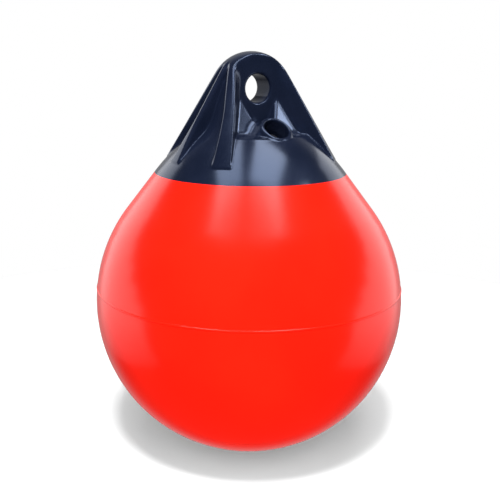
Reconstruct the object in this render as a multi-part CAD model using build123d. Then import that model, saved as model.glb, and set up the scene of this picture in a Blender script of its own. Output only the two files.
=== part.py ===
from build123d import *
import math
import os

# Inflatable mooring buoy: a vinyl ball with a moulded rope-hold on top.
# Millimetres, +Z up along the ball's axis, the eye's axis along Y, the valve on the -Y side.
# The origin is the ball's centre, where the water stands when the buoy is half under.

# Ball and its cone
ball_radius = 105.0
cone_angle = 37.6
body_wall = 3.0
mould_line_height = 12.0
mould_line_bead = 0.8
mould_line_rise = 0.35

# Rope-hold: skirt and core, each rise counted from the skirt's edge
skirt_edge_height = 88.8
skirt_thickness = 5.0
seat_rise = 11.2
crease_radius = 37.3
crease_rise = 26.4
core_foot_rise = 29.3
core_angle = 18.8
core_radius = 23.3
core_rise = 56.4
core_top_rise = 68.2

# Rope-hold: dome and ribs
dome_radius = 27.1
dome_centre_rise = 51.5
rib_cone_angle = 31.0
rib_foot_rise = 9.2
rib_thickness = 4.6
rib_foot_thickness = 13.0
rib_flare_start = 24.0
rib_fan_offset = 14.5
rib_fan_angle = 53.0
rib_face_offset = 15.0
rib_face_turn = 46.8
rib_face_rise = 4.9
top_face_offset = 7.6
top_face_turn = 30.7
top_face_rise = 20.4

# Rope-hold: eye and its recesses
eye_rise = 55.1
eye_radius = 9.3
eye_rim_round = 1.5
web_thickness = 18.4
trough_top_half_width = 12.9
trough_bottom_half_width = 7.6
trough_bottom_rise = 31.0
facet_top_rise = 48.7
facet_bottom_rise = 26.0
facet_angle = 32.2

# Valve
valve_offset = 32.0
valve_rise = 31.2
valve_tilt = 52.0
valve_boss_radius = 13.0
valve_boss_foot_radius = 14.1
valve_boss_length = 16.0
valve_boss_round = 3.0
valve_recess_radius = 8.25
valve_recess_depth = 17.0
sleeve_radius = 6.5
sleeve_bore_radius = 4.6
sleeve_flange_thickness = 2.0
sleeve_length = 13.0
sleeve_clearance = 0.05
seal_thickness = 1.2
seal_clearance = 0.3
plug_head_radius = 6.2
plug_head_thickness = 3.5
plug_slot_width = 1.6
plug_slot_depth = 1.8
plug_shank_length = 9.0
plug_clearance = 0.3

# Heights from the ball's centre
seat_height = skirt_edge_height + seat_rise
crease_height = skirt_edge_height + crease_rise
core_foot_height = skirt_edge_height + core_foot_rise
core_height = skirt_edge_height + core_rise
core_top_height = skirt_edge_height + core_top_rise
dome_centre_height = skirt_edge_height + dome_centre_rise
rib_foot_height = skirt_edge_height + rib_foot_rise
eye_height = skirt_edge_height + eye_rise
trough_bottom_height = skirt_edge_height + trough_bottom_rise
facet_top_height = skirt_edge_height + facet_top_rise
facet_bottom_height = skirt_edge_height + facet_bottom_rise
valve_height = skirt_edge_height + valve_rise

far = 4 * ball_radius
on_base = (Align.CENTER, Align.CENTER, Align.MIN)


def upright(*points):
    """Closed wire's points in the XZ half plane, given as (radius, height)."""
    return [(r, 0, z) for r, z in points]


def turned(*edges):
    """Solid turned about the ball's axis from the edges of its half section."""
    return revolve(make_face(edges), Axis.Z)


# Lines that the pieces share
cone_slope = math.tan(math.radians(cone_angle))
cone_normal = (math.cos(math.radians(cone_angle)), math.sin(math.radians(cone_angle)))
cone_start = (ball_radius * cone_normal[0], ball_radius * cone_normal[1])
skirt_edge = (cone_start[0] - cone_slope * (skirt_edge_height - cone_start[1]), skirt_edge_height)


def under_cone(depth, height=None):
    """Point below the cone's surface: under the skirt's edge, or where that line reaches a height."""
    r = skirt_edge[0] - depth * cone_normal[0]
    z = skirt_edge[1] - depth * cone_normal[1]
    if height is None:
        return (r, z)
    return (r - cone_slope * (height - z), height)


def valve_place(depth):
    """Plane across the valve's axis at a depth below its mouth, facing out of the hole."""
    tilt = math.radians(valve_tilt)
    outward = Vector(0, -math.cos(tilt), math.sin(tilt))
    mouth = Vector(0, -valve_offset, valve_height)
    return Plane(origin=mouth - outward * depth, x_dir=(1, 0, 0), z_dir=outward)


def valve_cylinder(radius, top_depth, bottom_depth):
    """Cylinder on the valve's axis between two depths below its mouth."""
    return valve_place(bottom_depth) * Cylinder(radius, bottom_depth - top_depth, align=on_base)


def make_float_body():
    """Ball and cone, hollow, with a rebate under the rope-hold's skirt and a hole for the valve sleeve."""
    low = math.radians((cone_angle - 90) / 2)
    outside = turned(
        ThreePointArc(*upright((0, -ball_radius),
                               (ball_radius * math.cos(low), ball_radius * math.sin(low)),
                               cone_start)),
        Polyline(*upright(cone_start, skirt_edge, under_cone(skirt_thickness),
                          under_cone(skirt_thickness, seat_height), (0, seat_height), (0, -ball_radius))))
    inner_radius = ball_radius - body_wall
    inner_start = (inner_radius * cone_normal[0], inner_radius * cone_normal[1])
    inner_depth = skirt_thickness + body_wall
    inner_top = seat_height - body_wall
    inside = turned(
        ThreePointArc(*upright((0, -inner_radius),
                               (inner_radius * math.cos(low), inner_radius * math.sin(low)),
                               inner_start)),
        Polyline(*upright(inner_start, under_cone(inner_depth), under_cone(inner_depth, inner_top),
                          (0, inner_top), (0, -inner_radius))))
    mould_line_radius = math.sqrt(ball_radius ** 2 - mould_line_height ** 2)
    bead = Torus(mould_line_radius + mould_line_rise - mould_line_bead, mould_line_bead)
    bead = Pos(0, 0, mould_line_height) * bead
    hole = valve_cylinder(sleeve_radius, valve_recess_depth, ball_radius)
    return outside + bead - inside - hole


def rib_plane_point(along, across, side, turn):
    """Plan point of a rib that fans out at one end of the eye's web."""
    angle = math.radians(turn)
    x = rib_fan_offset + along * math.cos(angle) - across * math.sin(angle)
    y = along * math.sin(angle) + across * math.cos(angle)
    return (side * x, y)


def make_rope_hold():
    """Skirt and core, six ribs under a dome, a recess on each face round the eye, and the valve's boss."""
    half_rib = rib_thickness / 2
    half_foot = rib_foot_thickness / 2
    half_web = web_thickness / 2

    def on_dome(rise):
        """Point of the dome's section at an angle above its centre."""
        angle = math.radians(rise)
        return (dome_radius * math.cos(angle), dome_centre_height + dome_radius * math.sin(angle))

    dome_start = on_dome(rib_cone_angle)
    dome_top = (0, dome_centre_height + dome_radius)
    rib_slope = math.tan(math.radians(rib_cone_angle))
    rib_foot = (dome_start[0] + rib_slope * (dome_start[1] - rib_foot_height), rib_foot_height)
    blank = turned(
        ThreePointArc(*upright(dome_start, on_dome((90 + rib_cone_angle) / 2), dome_top)),
        Polyline(*upright(dome_top, (0, seat_height), under_cone(skirt_thickness, seat_height),
                          under_cone(skirt_thickness, rib_foot_height), rib_foot, dome_start)))

    # Side pockets between the middle rib and its two neighbours, at both ends
    rib_run = rib_foot[0] - rib_fan_offset
    for side in (1, -1):
        for lean in (1, -1):
            turn = lean * rib_fan_angle
            bisector = math.radians(rib_fan_angle / 2)
            apex = rib_plane_point(half_rib / math.sin(bisector), 0, side, turn / 2)
            plan = Polyline(
                apex,
                rib_plane_point(rib_flare_start, lean * half_rib, side, 0),
                rib_plane_point(rib_run, lean * half_foot, side, 0),
                rib_plane_point(far, lean * half_foot, side, 0),
                rib_plane_point(far, -lean * half_foot, side, turn),
                rib_plane_point(rib_run, -lean * half_foot, side, turn),
                rib_plane_point(rib_flare_start, -lean * half_rib, side, turn),
                close=True)
            blank -= extrude(make_face(plan), far)

    # Recess on each face: flat round the eye, between the faces of the two nearest ribs and of the dome
    def room_between(offset, turn, rise):
        """Room in front of the web between two faces that mirror each other, each turned, and leaning back."""
        turn, rise = math.radians(turn), math.radians(rise)
        room = Pos(0, -half_web, 0) * Box(far, far, 2 * far, align=(Align.CENTER, Align.MAX, Align.CENTER))
        for side in (1, -1):
            normal = (side * math.sin(turn) * math.cos(rise), -math.cos(turn) * math.cos(rise), math.sin(rise))
            face = Plane(origin=(-side * offset, -half_web, eye_height), z_dir=normal)
            room = room & face * Box(2 * far, 2 * far, far, align=on_base)
        return room

    recess = room_between(rib_face_offset, rib_face_turn, rib_face_rise)
    recess += room_between(top_face_offset, top_face_turn, top_face_rise)
    blank -= recess
    blank -= mirror(recess, Plane.XZ)

    # Skirt and core
    core_slope = math.tan(math.radians(core_angle))
    core_foot = (core_radius + core_slope * (core_height - core_foot_height), core_foot_height)
    core_top = (core_radius - core_slope * (core_top_height - core_height), core_top_height)
    tangent = (-cone_normal[1], 0, cone_normal[0])
    skirt_arc = TangentArc(*upright(skirt_edge, (crease_radius, crease_height)), tangent=tangent)
    blank += turned(
        skirt_arc,
        Polyline(*upright((crease_radius, crease_height), core_foot, core_top, (0, core_top_height),
                          (0, seat_height), under_cone(skirt_thickness, seat_height),
                          under_cone(skirt_thickness), skirt_edge)))

    # The core cut back inside each recess: flat round the eye, with sloping facets beside a trough below
    trough = extrude(make_face(Polyline(*upright(
        (-trough_bottom_half_width, trough_bottom_height), (trough_bottom_half_width, trough_bottom_height),
        (trough_top_half_width, facet_top_height), (-trough_top_half_width, facet_top_height)), close=True)),
        far, both=True)
    facet_low = half_web + math.tan(math.radians(facet_angle)) * (facet_top_height - facet_bottom_height)
    facets = extrude(make_face(Polyline(
        (0, -half_web, far), (0, -half_web, facet_top_height), (0, -facet_low, facet_bottom_height),
        (0, -far, facet_bottom_height), (0, -far, far), close=True)), far, both=True)
    core_cut = recess & (trough + facets)
    blank -= core_cut
    blank -= mirror(core_cut, Plane.XZ)

    # Valve boss, its recess and the sleeve's bore
    boss = Cone(valve_boss_foot_radius, valve_boss_radius, valve_boss_length, align=on_base)
    boss = fillet(boss.edges().sort_by(Axis.Z)[-1], valve_boss_round)
    above_seat = Pos(0, 0, seat_height) * Box(far, far, far, align=on_base)
    blank += valve_place(valve_boss_length) * boss & above_seat
    blank -= valve_cylinder(valve_recess_radius, -ball_radius, valve_recess_depth)
    blank -= valve_cylinder(sleeve_radius, 0, ball_radius)

    # Eye with rounded rims
    rim_radius = eye_radius + eye_rim_round
    rim_start = half_web - eye_rim_round
    rim_middle = (rim_radius - eye_rim_round * math.cos(math.radians(45)),
                  rim_start + eye_rim_round * math.sin(math.radians(45)))
    half_eye = turned(
        Polyline(*upright((rim_radius, half_web), (rim_radius, far), (0, far), (0, 0),
                          (eye_radius, 0), (eye_radius, rim_start))),
        ThreePointArc(*upright((eye_radius, rim_start), rim_middle, (rim_radius, half_web))))
    for quarter in (90, -90):
        blank -= Pos(0, 0, eye_height) * Rot(quarter, 0, 0) * half_eye
    return blank


def make_valve_sleeve():
    """Flanged tube in the valve's bore, its flange on the bottom of the recess."""
    flange_top = valve_recess_depth - sleeve_flange_thickness
    flange = valve_cylinder(valve_recess_radius - sleeve_clearance, flange_top, valve_recess_depth)
    tube_end = valve_recess_depth + sleeve_length
    tube = valve_cylinder(sleeve_radius - sleeve_clearance, valve_recess_depth, tube_end)
    bore = valve_cylinder(sleeve_bore_radius, 0, ball_radius)
    return flange + tube - bore


def make_plug_seal():
    """Flat ring between the sleeve's flange and the plug's head."""
    bottom = valve_recess_depth - sleeve_flange_thickness
    ring = valve_cylinder(plug_head_radius, bottom - seal_thickness, bottom)
    return ring - valve_cylinder(sleeve_bore_radius - plug_clearance + seal_clearance, 0, ball_radius)


def make_valve_plug():
    """Screw plug with a slotted head."""
    head_bottom = valve_recess_depth - sleeve_flange_thickness - seal_thickness
    head_top = head_bottom - plug_head_thickness
    head = valve_cylinder(plug_head_radius, head_top, head_bottom)
    shank = valve_cylinder(sleeve_bore_radius - plug_clearance, head_bottom,
                           head_bottom + seal_thickness + plug_shank_length)
    slot = Box(far, plug_slot_width, plug_slot_depth, align=(Align.CENTER, Align.CENTER, Align.MAX))
    return head + shank - valve_place(head_top) * slot


os.makedirs("parts", exist_ok=True)
pieces = {
    "float_body": make_float_body(),
    "rope_hold": make_rope_hold(),
    "valve_sleeve": make_valve_sleeve(),
    "plug_seal": make_plug_seal(),
    "valve_plug": make_valve_plug(),
}
for name, piece in pieces.items():
    export_step(piece, f"parts/{name}.step")
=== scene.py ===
import math

import bmesh
import bpy
import numpy as np
from mathutils import Matrix, Vector


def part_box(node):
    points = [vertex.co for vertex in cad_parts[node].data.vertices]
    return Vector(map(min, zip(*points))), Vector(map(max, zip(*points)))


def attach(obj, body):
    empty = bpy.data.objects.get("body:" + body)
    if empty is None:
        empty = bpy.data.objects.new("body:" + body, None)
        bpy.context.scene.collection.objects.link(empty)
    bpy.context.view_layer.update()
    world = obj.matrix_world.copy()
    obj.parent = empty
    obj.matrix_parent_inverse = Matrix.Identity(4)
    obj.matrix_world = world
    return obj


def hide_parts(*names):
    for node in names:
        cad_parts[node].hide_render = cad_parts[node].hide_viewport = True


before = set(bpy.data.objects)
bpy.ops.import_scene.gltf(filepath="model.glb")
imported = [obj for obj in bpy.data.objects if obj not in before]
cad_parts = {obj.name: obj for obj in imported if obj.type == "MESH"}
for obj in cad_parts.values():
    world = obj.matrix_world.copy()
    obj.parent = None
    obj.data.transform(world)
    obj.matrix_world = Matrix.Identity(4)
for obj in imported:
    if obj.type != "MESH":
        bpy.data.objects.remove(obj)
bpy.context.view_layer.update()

# Float body: the air-filled ball with the cone that runs up under the rope-hold.
# Soft red vinyl, moulded in one piece in a two-part mould that leaves a fine line round the
# ball, with a step at the cone's top that the rope-hold is welded into.
mm = 0.001
ball_radius = 105.0
cone_angle = math.radians(37.6)
body_wall = 3.0
mould_line_height = 12.0
mould_line_half_width = 0.7
mould_line_rise = 0.35
skirt_edge_height = 88.8
skirt_thickness = 5.0
seat_height = 100.0
ball_rows = 170
ball_segments = 288
ball_corner_angle = math.radians(35)

cone_out = np.array([math.cos(cone_angle), math.sin(cone_angle)])
cone_up = np.array([-math.sin(cone_angle), math.cos(cone_angle)])
cone_start = ball_radius * cone_out
skirt_edge = cone_start + cone_up * (skirt_edge_height - cone_start[1]) / cone_up[1]


def under_cone(depth, height):
    """Point (radius, height) at a depth under the cone's surface."""
    below = skirt_edge - depth * cone_out
    return below + cone_up * (height - below[1]) / cone_up[1]


def on_arc(radius, angles):
    """Points (radius, height) round the ball's centre, at angles above the horizontal."""
    return np.stack([radius * np.cos(angles), radius * np.sin(angles)], axis=1)


def on_line(start, end, steps):
    """Points (radius, height) along a line, after its start."""
    share = np.linspace(0, 1, steps + 1)[1:, None]
    return (1 - share) * np.asarray(start) + share * np.asarray(end)


def turned_mesh(name, sections, segments):
    """Mesh turned about Z from sections (radius, height) in mm, each with both ends on the axis."""
    work = bmesh.new()
    angles = np.arange(segments) * 2 * math.pi / segments
    for section in sections:
        rings = []
        for r, z in np.asarray(section, float) * mm:
            if r < 1e-9:
                rings.append([work.verts.new((0, 0, z))] * segments)
            else:
                rings.append([work.verts.new((r * math.cos(a), r * math.sin(a), z)) for a in angles])
        for low, high in zip(rings, rings[1:]):
            for i in range(segments):
                corners = (low[i - 1], low[i], high[i], high[i - 1])
                work.faces.new(list(dict.fromkeys(corners)))
    mesh = bpy.data.meshes.new(name)
    work.to_mesh(mesh)
    work.free()
    mesh.shade_smooth()
    return mesh


def shown(name, mesh, material):
    """Object in the scene, at the origin, in one material."""
    piece = bpy.data.objects.new(name, mesh)
    bpy.context.scene.collection.objects.link(piece)
    mesh.materials.clear()
    mesh.materials.append(material)
    return piece


def cut_away(piece, cutter_mesh):
    """Takes a closed shape out of a piece and leaves the piece a plain mesh."""
    cutter = bpy.data.objects.new("cutter", cutter_mesh)
    bpy.context.scene.collection.objects.link(cutter)
    cut = piece.modifiers.new("cut", "BOOLEAN")
    cut.operation = "DIFFERENCE"
    cut.solver = "EXACT"
    cut.object = cutter
    evaluated = piece.evaluated_get(bpy.context.evaluated_depsgraph_get())
    result = bpy.data.meshes.new_from_object(evaluated)
    piece.modifiers.remove(cut)
    piece.data = result
    bpy.data.objects.remove(cutter)


def moulded(name, light, dark, cloud_size, rough_low, rough_high, grain_size, grain_depth):
    """Moulded vinyl or plastic: a faint cloud in its colour and gloss, and a fine grain from the mould."""
    cloud_low = 0.35
    cloud_high = 0.65
    material = bpy.data.materials.new(name)
    material.use_nodes = True
    nodes = material.node_tree.nodes
    links = material.node_tree.links
    shader = nodes["Principled BSDF"]
    place = nodes.new("ShaderNodeTexCoord")
    cloud = nodes.new("ShaderNodeTexNoise")
    cloud.inputs["Scale"].default_value = 1 / (cloud_size * mm)
    cloud.inputs["Detail"].default_value = 4
    tint = nodes.new("ShaderNodeValToRGB")
    tint.color_ramp.elements[0].position = cloud_low
    tint.color_ramp.elements[0].color = (*dark, 1)
    tint.color_ramp.elements[1].position = cloud_high
    tint.color_ramp.elements[1].color = (*light, 1)
    gloss = nodes.new("ShaderNodeMapRange")
    gloss.inputs["From Min"].default_value = cloud_low
    gloss.inputs["From Max"].default_value = cloud_high
    gloss.inputs["To Min"].default_value = rough_low
    gloss.inputs["To Max"].default_value = rough_high
    grain = nodes.new("ShaderNodeTexNoise")
    grain.inputs["Scale"].default_value = 1 / (grain_size * mm)
    grain.inputs["Detail"].default_value = 2
    skin = nodes.new("ShaderNodeBump")
    skin.inputs["Strength"].default_value = 1.0
    skin.inputs["Distance"].default_value = grain_depth * mm
    links.new(place.outputs["Object"], cloud.inputs["Vector"])
    links.new(place.outputs["Object"], grain.inputs["Vector"])
    links.new(cloud.outputs["Fac"], tint.inputs["Fac"])
    links.new(cloud.outputs["Fac"], gloss.inputs["Value"])
    links.new(tint.outputs["Color"], shader.inputs["Base Color"])
    links.new(gloss.outputs["Result"], shader.inputs["Roughness"])
    links.new(grain.outputs["Fac"], skin.inputs["Height"])
    links.new(skin.outputs["Normal"], shader.inputs["Normal"])
    return material


red_vinyl = moulded("red_vinyl", light=(0.93, 0.0115, 0.003), dark=(0.90, 0.0095, 0.0025), cloud_size=45,
                    rough_low=0.19, rough_high=0.23, grain_size=1.1, grain_depth=0.004)

mould_line_angle = math.asin(mould_line_height / ball_radius)
mould_line_half_angle = mould_line_half_width / ball_radius
ball_angles = np.sort(np.concatenate([
    np.linspace(-math.pi / 2, cone_angle, ball_rows),
    mould_line_angle + mould_line_half_angle * np.linspace(-1, 1, 9)]))
from_mould_line = (ball_angles - mould_line_angle) / mould_line_half_angle
bead = mould_line_rise * np.sqrt(np.clip(1 - from_mould_line ** 2, 0, 1))
ball_outside = np.concatenate([
    on_arc(1, ball_angles) * (ball_radius + bead)[:, None],
    on_line(cone_start, skirt_edge, steps=16),
    on_line(skirt_edge, skirt_edge - skirt_thickness * cone_out, steps=3),
    on_line(skirt_edge - skirt_thickness * cone_out, under_cone(skirt_thickness, seat_height), steps=4),
    on_line(under_cone(skirt_thickness, seat_height), (0, seat_height), steps=8)])
ball_outside[0, 0] = 0
inner_depth = skirt_thickness + body_wall
inner_top = seat_height - body_wall
ball_inside = np.concatenate([
    on_arc(ball_radius - body_wall, np.linspace(-math.pi / 2, cone_angle, 40)),
    on_line((ball_radius - body_wall) * cone_out, under_cone(inner_depth, inner_top), steps=8),
    on_line(under_cone(inner_depth, inner_top), (0, inner_top), steps=6)])
ball_inside[0, 0] = 0
float_body_mesh = turned_mesh("float_body_skin", [ball_outside, ball_inside[::-1]], ball_segments)
float_body = shown("float_body_skin", float_body_mesh, red_vinyl)

valve_mouth = Vector((0, -32.0, 120.0)) * mm
valve_tilt = math.radians(52.0)
valve_axis = Vector((0, -math.cos(valve_tilt), math.sin(valve_tilt)))
valve_place = Matrix.Translation(valve_mouth) @ valve_axis.to_track_quat("Z", "X").to_matrix().to_4x4()
sleeve_radius = 6.5
recess_depth = 17.0
hole_end = 60.0
hole_segments = 48
hole_section = [(0, -hole_end), (sleeve_radius, -hole_end),
                (sleeve_radius, -recess_depth), (0, -recess_depth)]
hole = turned_mesh("sleeve_hole", [hole_section], hole_segments)
hole.transform(valve_place)
cut_away(float_body, hole)
float_body.data.set_sharp_from_angle(angle=ball_corner_angle)
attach(float_body, "buoy")
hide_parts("float_body")


# Rope-hold: the moulding that takes the mooring rope, a skirt over the cone, a core, and six
# ribs that run down from a dome with the rope's eye through it. Solid navy vinyl, injection
# moulded with soft corners, and welded to the ball under its skirt. The valve sits in its front.
skirt_radius = 137.2
skirt_centre = skirt_edge - skirt_radius * cone_out
core_angle = math.radians(18.8)
core_radius = 23.3
core_height = 145.2
core_top_height = 150.0
dome_radius = 27.1
dome_centre_height = 140.3
rib_cone_angle = math.radians(31.0)
rib_foot_height = 98.0
rib_half_thickness = 2.3
rib_foot_half_thickness = 6.5
rib_flare_start = 24.0
rib_run = 42.5
rib_flare_limit = 1.2
rib_flare_power = 1.5
rib_fan_offset = 14.5
rib_fan_angle = math.radians(53.0)
rib_face_offset = 15.0
rib_face_turn = math.radians(52.0)
rib_face_rise = math.radians(1.5)
top_face_offset = 7.6
top_face_turn = math.radians(30.7)
top_face_rise = math.radians(20.4)
eye_height = 143.9
eye_radius = 9.3
half_web = 9.2
trough_half_width = 12.9
trough_taper = 0.40
trough_bottom_height = 119.8
facet_top_height = 137.5
facet_bottom_height = 114.8
facet_angle = math.radians(30.0)
facet_splay = math.radians(2.0)
facet_splay_start = 15.0
boss_radius = 10.6
boss_draft = math.radians(8.0)
boss_length = 16.0
recess_radius = 8.25

pocket_round = 3.0
crest_round = 2.4
foot_round = 0.8
face_round = 1.5
room_round = 0.5
room_top_round = 2.0
room_top_round_heights = 138, 152
room_edge_round = 1.2
core_top_round = 4.0
facet_foot_round = 3.0
trough_corner_round = 1.5
trough_foot_round = 3.0
trough_edge_round = 2.0
facet_wall_round = 0.5
crease_round = 6.0
facet_edge_round = 1.2
rib_root_round = 0.9
boss_edge_round = 1.6
boss_foot_round = 1.0
boss_front_round = 1.0
boss_back_round = 6.0
boss_round_range = -9, 3
recess_floor_round = 0.6
sleeve_bore_round = 0.4
mouth_round = 1.2
eye_round = 1.8

hold_cell = 0.8
hold_margin = 1.5
hold_edge_reach = 0.95
hold_corner_angle = math.radians(50)


def union(a, b, round_off):
    """Least of two depths, with the inner corner between them filled to a round."""
    near = np.clip(round_off - np.abs(a - b), 0, None) / round_off
    return np.minimum(a, b) - near * near * round_off / 4


def common(a, b, round_off):
    """Greatest of two depths, with the outer corner between them rounded."""
    return -union(-a, -b, round_off)


def ease(value, low, high):
    """0 below low, 1 above high and a smooth step between."""
    share = np.clip((value - low) / (high - low), 0, 1)
    return share * share * (3 - 2 * share)


def hold_depth(x, y, z):
    """Depth of a point outside the rope-hold's surface, in mm, below 0 inside.

    All but the valve is alike at both ends and on both faces.
    """
    x_out = np.abs(x)
    y_out = np.abs(y)
    r = np.hypot(x, y)

    # Dome and the cone that the ribs' crests lie on
    above = z - dome_centre_height
    on_cone = r * math.cos(rib_cone_angle) + above * math.sin(rib_cone_angle)
    on_ball = np.hypot(r, above)
    past_cone = above * math.cos(rib_cone_angle) - r * math.sin(rib_cone_angle)
    envelope = np.where(past_cone > 0, on_ball, on_cone) - dome_radius

    # Pocket between the middle rib and its neighbour
    out = x_out - rib_fan_offset
    along = out * math.cos(rib_fan_angle) + y_out * math.sin(rib_fan_angle)
    across = y_out * math.cos(rib_fan_angle) - out * math.sin(rib_fan_angle)
    flare = rib_foot_half_thickness - rib_half_thickness

    def half_thickness(run):
        share = np.clip((run - rib_flare_start) / (rib_run - rib_flare_start), 0, rib_flare_limit)
        return rib_half_thickness + flare * share ** rib_flare_power

    pocket = common(half_thickness(out) - y_out, half_thickness(along) + across, pocket_round)
    ribs = common(envelope, -pocket, crest_round)
    ribs = common(ribs, rib_foot_height - z, foot_round)

    # Room between the ribs nearest the eye: flat at the back, between the ribs' faces and the dome's
    def face(offset, turn, rise):
        across_face = math.sin(turn) * (x_out - offset) - math.cos(turn) * (y_out - half_web)
        return across_face * math.cos(rise) - math.sin(rise) * (z - eye_height)

    wall = union(face(rib_face_offset, rib_face_turn, rib_face_rise),
                 face(top_face_offset, top_face_turn, top_face_rise), face_round)
    room = common(half_web - y_out, wall, room_round + room_top_round * ease(z, *room_top_round_heights))
    ribs = common(ribs, -room, room_edge_round)

    # Skirt and core, the core cut back in that room to two sloping facets with a trough between them
    skirt = np.hypot(r - skirt_centre[0], z - skirt_centre[1]) - skirt_radius
    core = (r - core_radius - math.tan(core_angle) * (core_height - z)) * math.cos(core_angle)
    core = common(core, z - core_top_height, core_top_round)
    facets = half_web + math.tan(facet_angle) * (facet_top_height - z) - y_out
    facets = facets - math.tan(facet_splay) * (x_out - facet_splay_start)
    facets = common(facets * math.cos(facet_angle), facet_bottom_height - z, facet_foot_round)
    trough = x_out - trough_half_width + trough_taper * (facet_top_height - z)
    trough = common(trough, half_web - y_out, trough_corner_round)
    trough = common(trough, trough_bottom_height - z, trough_foot_round)
    core_cut = common(wall, union(facets, trough, trough_edge_round), facet_wall_round)
    hub = common(union(skirt, core, crease_round), -core_cut, facet_edge_round)
    whole = union(ribs, hub, rib_root_round)

    # Valve boss with its recess and the sleeve's bore
    to_valve = np.stack([x, y - valve_mouth.y / mm, z - valve_mouth.z / mm])
    height = to_valve[1] * valve_axis.y + to_valve[2] * valve_axis.z
    height_along = to_valve[1] * valve_axis.z - to_valve[2] * valve_axis.y
    off_axis = np.hypot(to_valve[0], height_along)
    boss = (off_axis - boss_radius + height * math.tan(boss_draft)) * math.cos(boss_draft)
    boss = common(boss, height, boss_edge_round)
    boss = common(boss, -height - boss_length, boss_foot_round)
    whole = union(whole, boss, boss_front_round + boss_back_round * ease(height_along, *boss_round_range))
    bore = common(off_axis - recess_radius, -height - recess_depth, recess_floor_round)
    bore = union(bore, off_axis - sleeve_radius, sleeve_bore_round)
    whole = common(whole, -bore, mouth_round)

    # Eye
    whole = common(whole, eye_radius - np.hypot(x, z - eye_height), eye_round)

    # Underside, where the ball's cone and its seat are
    cone_depth = (r - skirt_edge[0]) * cone_out[0] + (z - skirt_edge[1]) * cone_out[1]
    along_cone = (r - skirt_edge[0]) * cone_up[0] + (z - skirt_edge[1]) * cone_up[1]
    ball_top = np.maximum(cone_depth + skirt_thickness, z - seat_height)
    whole = np.maximum(whole, -ball_top)
    return np.maximum(whole, -along_cone)


def skin_over(depth, low, high, cell):
    """Points and quads of the surface where a depth is 0, one point in each cell that it passes through."""
    axes = [np.arange(a, b + cell, cell) for a, b in zip(low, high)]
    inside = depth(*np.meshgrid(*axes, indexing="ij")) < 0
    last = [n - 1 for n in inside.shape]
    corners = sum(inside[i:i + last[0], j:j + last[1], k:k + last[2]].astype(np.int8)
                  for i in (0, 1) for j in (0, 1) for k in (0, 1))
    passed = (corners > 0) & (corners < 8)
    number = np.full(passed.shape, -1)
    number[passed] = np.arange(passed.sum())
    middles = np.stack([axis[index] + cell / 2 for axis, index in zip(axes, np.nonzero(passed))])

    quads = []
    for axis in range(3):
        turned = np.moveaxis(inside, (axis, (axis + 1) % 3, (axis + 2) % 3), (0, 1, 2))[:, 1:-1, 1:-1]
        cells = np.moveaxis(number, (axis, (axis + 1) % 3, (axis + 2) % 3), (0, 1, 2))
        for leaving in (True, False):
            i, j, k = np.nonzero((turned[:-1] == leaving) & (turned[1:] != leaving))
            ring = [cells[i, j, k], cells[i, j + 1, k], cells[i, j + 1, k + 1], cells[i, j, k + 1]]
            quads.append(np.stack(ring if leaving else ring[::-1], axis=1))
    quads = np.concatenate(quads)
    probe = 0.02
    least_slope = 0.25
    reach = 0.8 * cell

    def settle(points):
        """Moves points along the slope of the depth onto the surface, each within its own cell's reach."""
        for _ in range(5):
            slope = np.stack([depth(*(points + step)) - depth(*(points - step))
                              for step in probe * np.eye(3)[:, :, None]])
            slope /= 2 * probe
            points = points - depth(*points) * slope / np.maximum((slope * slope).sum(0), least_slope)
            points = middles + np.clip(points - middles, -reach, reach)
        return points

    points = settle(middles)
    for _ in range(3):
        total = np.zeros_like(points)
        count = np.zeros(points.shape[1])
        for corner in range(4):
            for beside in (1, 3):
                np.add.at(total.T, quads[:, corner], points.T[quads[:, (corner + beside) % 4]])
                np.add.at(count, quads[:, corner], 1)
        points = settle(0.5 * points + 0.5 * total / count)
    return points.T, quads


hold_box = [np.array(corner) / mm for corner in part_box("rope_hold")]
hold_low = hold_box[0] - hold_margin
hold_high = hold_box[1] + hold_margin
hold_points, hold_quads = skin_over(hold_depth, hold_low, hold_high, hold_cell)

# The skirt's lower edge is drawn true where it meets the ball
radius_from_axis = np.hypot(hold_points[:, 0], hold_points[:, 1])
from_edge = np.hypot(radius_from_axis - skirt_edge[0], hold_points[:, 2] - skirt_edge[1])
on_edge = from_edge < hold_edge_reach * hold_cell
hold_points[on_edge, :2] *= (skirt_edge[0] / radius_from_axis[on_edge])[:, None]
hold_points[on_edge, 2] = skirt_edge[1]

navy_vinyl = moulded("navy_vinyl", light=(0.0065, 0.0095, 0.022), dark=(0.0045, 0.007, 0.017), cloud_size=22,
                     rough_low=0.16, rough_high=0.20, grain_size=0.9, grain_depth=0.004)
navy_nodes = navy_vinyl.node_tree.nodes
navy_links = navy_vinyl.node_tree.links
navy_shader = navy_nodes["Principled BSDF"]
navy_shader.inputs["Specular Tint"].default_value = (0.50, 0.65, 1.0, 1)

# The eye's bore is duller than the rest
from_eye = navy_nodes.new("ShaderNodeVectorMath")
from_eye.operation = "SUBTRACT"
from_eye.inputs[1].default_value = (0, 0, eye_height * mm)
off_bore = navy_nodes.new("ShaderNodeVectorMath")
off_bore.operation = "MULTIPLY"
off_bore.inputs[1].default_value = (1, 0, 1)
bore_distance = navy_nodes.new("ShaderNodeVectorMath")
bore_distance.operation = "LENGTH"
bore_shine = navy_nodes.new("ShaderNodeMapRange")
bore_shine.inputs["From Min"].default_value = (eye_radius + 0.1) * mm
bore_shine.inputs["From Max"].default_value = (eye_radius + 0.8) * mm
bore_shine.inputs["To Min"].default_value = 0.12
bore_shine.inputs["To Max"].default_value = 0.7
navy_links.new(navy_nodes["Texture Coordinate"].outputs["Object"], from_eye.inputs[0])
navy_links.new(from_eye.outputs["Vector"], off_bore.inputs[0])
navy_links.new(off_bore.outputs["Vector"], bore_distance.inputs[0])
navy_links.new(bore_distance.outputs["Value"], bore_shine.inputs["Value"])
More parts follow.
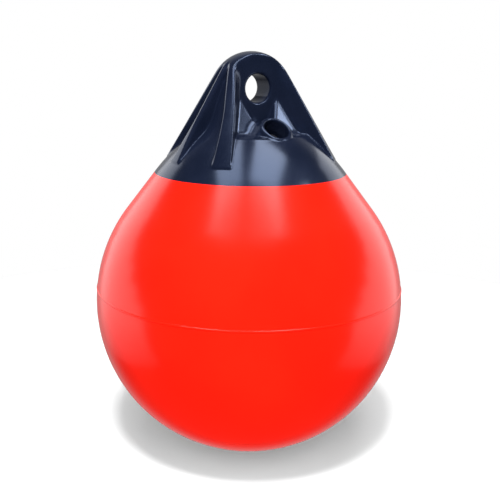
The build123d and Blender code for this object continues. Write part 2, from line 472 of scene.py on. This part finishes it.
navy_links.new(bore_shine.outputs["Result"], navy_shader.inputs["Specular IOR Level"])

hold_mesh = bpy.data.meshes.new("rope_hold_skin")
hold_mesh.from_pydata((hold_points * mm).tolist(), [], hold_quads.tolist())
hold_mesh.shade_smooth()
hold_mesh.set_sharp_from_angle(angle=hold_corner_angle)
rope_hold = shown("rope_hold_skin", hold_mesh, navy_vinyl)
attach(rope_hold, "buoy")
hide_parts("rope_hold")


# Valve sleeve: the flanged tube pressed into the bottom of the valve's recess.
# Black moulded plastic, with a thread inside that takes the plug.
black_insert = moulded("black_insert", light=(0.016, 0.016, 0.018), dark=(0.010, 0.010, 0.012), cloud_size=3,
                       rough_low=0.5, rough_high=0.6, grain_size=0.3, grain_depth=0.01)
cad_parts["valve_sleeve"].data.materials.clear()
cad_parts["valve_sleeve"].data.materials.append(black_insert)

# Plug seal: the flat ring between the sleeve's flange and the plug's head.
# Black rubber, held by the plug and drawn out with it.
seal_rubber = moulded("seal_rubber", light=(0.022, 0.022, 0.022), dark=(0.014, 0.014, 0.014), cloud_size=2,
                      rough_low=0.65, rough_high=0.8, grain_size=0.25, grain_depth=0.01)
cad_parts["plug_seal"].data.materials.clear()
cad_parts["plug_seal"].data.materials.append(seal_rubber)

# Valve plug: the screw that closes the valve, turned with a coin or a screwdriver in its slot.
# Black moulded plastic, screwed down onto its seal.
black_plug = moulded("black_plug", light=(0.026, 0.026, 0.030), dark=(0.018, 0.018, 0.021), cloud_size=3,
                     rough_low=0.38, rough_high=0.48, grain_size=0.3, grain_depth=0.008)
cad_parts["valve_plug"].data.materials.clear()
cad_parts["valve_plug"].data.materials.append(black_plug)


# Studio: a white floor under the ball in a white surround. Two soft boxes hang side by side
# overhead, strip lights lean at both sides, one small box lights the rope-hold alone, and three
# soft lights that leave no reflection fill the front, the top and the ball's underside.
view_turn = math.radians(-31.0)
view_right = Vector((math.cos(view_turn), math.sin(view_turn), 0))
view_ahead = Vector((-math.sin(view_turn), math.cos(view_turn), 0))
upright = Vector((0, 0, 1))

floor_radius = 0.5
floor_sides = 96
floor_material = bpy.data.materials.new("studio_floor")
floor_material.use_nodes = True
floor_shader = floor_material.node_tree.nodes["Principled BSDF"]
floor_shader.inputs["Base Color"].default_value = (0.92, 0.92, 0.92, 1)
floor_shader.inputs["Roughness"].default_value = 0.9
floor_shader.inputs["Specular IOR Level"].default_value = 0.1
floor_rim = [(floor_radius * math.cos(a), floor_radius * math.sin(a), -ball_radius * mm)
             for a in np.arange(floor_sides) * 2 * math.pi / floor_sides]
floor_mesh = bpy.data.meshes.new("studio_floor")
floor_mesh.from_pydata(floor_rim, [], [tuple(range(floor_sides))])
floor = shown("studio_floor", floor_mesh, floor_material)

# The floor only takes the shadow: it lends the ball no light, and the ball lends it no red
floor.visible_glossy = False
floor.visible_diffuse = False
floor.visible_shadow = False
float_body.visible_diffuse = False


def soft_box(name, place, aim, width, length, power, along=view_ahead, in_gloss=True):
    """Rectangular soft light that faces a point, its length as near as it can be along a direction."""
    light = bpy.data.lights.new(name, "AREA")
    light.shape = "RECTANGLE"
    light.size = width
    light.size_y = length
    light.energy = power
    lamp = bpy.data.objects.new(name, light)
    bpy.context.scene.collection.objects.link(lamp)
    back = (place - aim).normalized()
    side = along.cross(back).normalized()
    turn = Matrix((side, back.cross(side), back)).transposed()
    lamp.matrix_world = Matrix.Translation(place) @ turn.to_4x4()
    lamp.visible_glossy = in_gloss
    light.cycles.use_multiple_importance_sampling = in_gloss
    lamp.visible_camera = False
    return lamp


overhead_height = 0.95
overhead_nearer = 0.155
overhead_length = 0.55
front_length = 0.29
front_share = 0.03
strip_distance = 1.10
strip_width = 0.145
strip_heights = np.arange(-0.68, 0.95, strip_width)
strip_length = 1.5
strip_power = 0.85
strip_level_heights = -0.75, -0.45, -0.2, 0.3
strip_levels = 0.15, 0.5, 0.95, 1.1
strip_start = 0.08
strip_lean = 0.69
strip_bow = 0.25
strip_bow_height = -0.08
strip_bow_reach = 0.32
for hand, middle, width, power, skew in ((-1, -0.285, 0.35, 2.8, 0.0), (1, 0.23, 0.40, 4.15, 0.16)):
    along = view_ahead + view_right * skew
    over = view_right * middle - view_ahead * overhead_nearer + upright * overhead_height
    soft_box(f"overhead_box_{hand}", over, over - upright, width, overhead_length, power, along)
    before = over - along * (overhead_length + front_length) / 2
    soft_box(f"front_box_{hand}", before, before - upright, width, front_length, power * front_share, along)
    for height in strip_heights:
        level = np.interp(height, strip_level_heights, strip_levels)
        bow = strip_bow * math.exp(-((height - strip_bow_height) / strip_bow_reach) ** 2)
        middle_ahead = strip_start + strip_lean * height - bow + strip_length / 2
        beside = view_right * (strip_distance * hand) + view_ahead * middle_ahead + upright * height
        soft_box(f"side_strip_{hand}", beside, beside - view_right * hand,
                 strip_width, strip_length, strip_power * level)

spot_place = view_right * 1.02 - view_ahead * 0.18 + upright * 0.94
spot_aim = Vector((0, -0.02, 0.125))
spot = soft_box("rope_hold_spot", spot_place, spot_aim, width=0.28, length=0.28, power=3.6)
lit = bpy.data.collections.new("lit_by_spot")
lit.objects.link(rope_hold)
spot.light_linking.receiver_collection = lit

ball_centre = Vector((0, 0, 0))
fill_place = -view_ahead * 1.3 + upright * 0.7
soft_box("front_fill", fill_place, ball_centre, width=1.6, length=1.6, power=24.0, in_gloss=False)
top_place = -view_ahead * 0.85 - view_right * 0.08 + upright * 1.6
soft_box("top_light", top_place, top_place - upright, width=0.26, length=0.26, power=30.0, in_gloss=False)
glow_place = -view_ahead * 0.8 - upright * 0.9
soft_box("table_glow", glow_place, ball_centre, width=1.2, length=1.2, power=17.0, in_gloss=False)

world = bpy.data.worlds.new("studio_surround")
bpy.context.scene.world = world
world.use_nodes = True
room = world.node_tree
surround = room.nodes["Background"]
surround.inputs["Color"].default_value = (1, 1, 1, 1)
seen_by = room.nodes.new("ShaderNodeLightPath")
direction = room.nodes.new("ShaderNodeTexCoord")
ahead = room.nodes.new("ShaderNodeVectorMath")
ahead.operation = "DOT_PRODUCT"
ahead.inputs[1].default_value = view_ahead
backdrop = room.nodes.new("ShaderNodeMapRange")
backdrop.interpolation_type = "SMOOTHSTEP"
backdrop.inputs["From Min"].default_value = 0.45
backdrop.inputs["From Max"].default_value = 0.8
backdrop.inputs["To Min"].default_value = 0.04
backdrop.inputs["To Max"].default_value = 0.40
strength = room.nodes.new("ShaderNodeMath")
strength.operation = "MAXIMUM"
room.links.new(direction.outputs["Generated"], ahead.inputs[0])
room.links.new(ahead.outputs["Value"], backdrop.inputs["Value"])
room.links.new(seen_by.outputs["Is Camera Ray"], strength.inputs[0])
room.links.new(backdrop.outputs["Result"], strength.inputs[1])
room.links.new(strength.outputs["Value"], surround.inputs["Strength"])


# Camera: at the height of the rope-hold's top and looking a little down, at the photograph's
# angle and focal length.
photo_width_px = 500.0
photo_focal_px = 763.0
camera_distance = 0.5127
camera_height = 0.1615
camera_pitch = math.radians(13.96)
camera_roll = 0.0112
camera_shift = 0.001
camera_data = bpy.data.cameras.new("camera")
camera_data.lens = photo_focal_px / photo_width_px * camera_data.sensor_width
camera_data.shift_x = camera_shift
camera_data.clip_start = 0.01
camera = bpy.data.objects.new("camera", camera_data)
bpy.context.scene.collection.objects.link(camera)
looking = view_ahead * math.cos(camera_pitch) - upright * math.sin(camera_pitch)
level_up = view_ahead * math.sin(camera_pitch) + upright * math.cos(camera_pitch)
camera_right = view_right * math.cos(camera_roll) + level_up * math.sin(camera_roll)
camera_up = level_up * math.cos(camera_roll) - view_right * math.sin(camera_roll)
camera_place = -view_ahead * camera_distance + upright * camera_height
camera_turn = Matrix((camera_right, camera_up, -looking)).transposed()
camera.matrix_world = Matrix.Translation(camera_place) @ camera_turn.to_4x4()
bpy.context.scene.camera = camera
bpy.context.scene.view_settings.view_transform = "Standard"
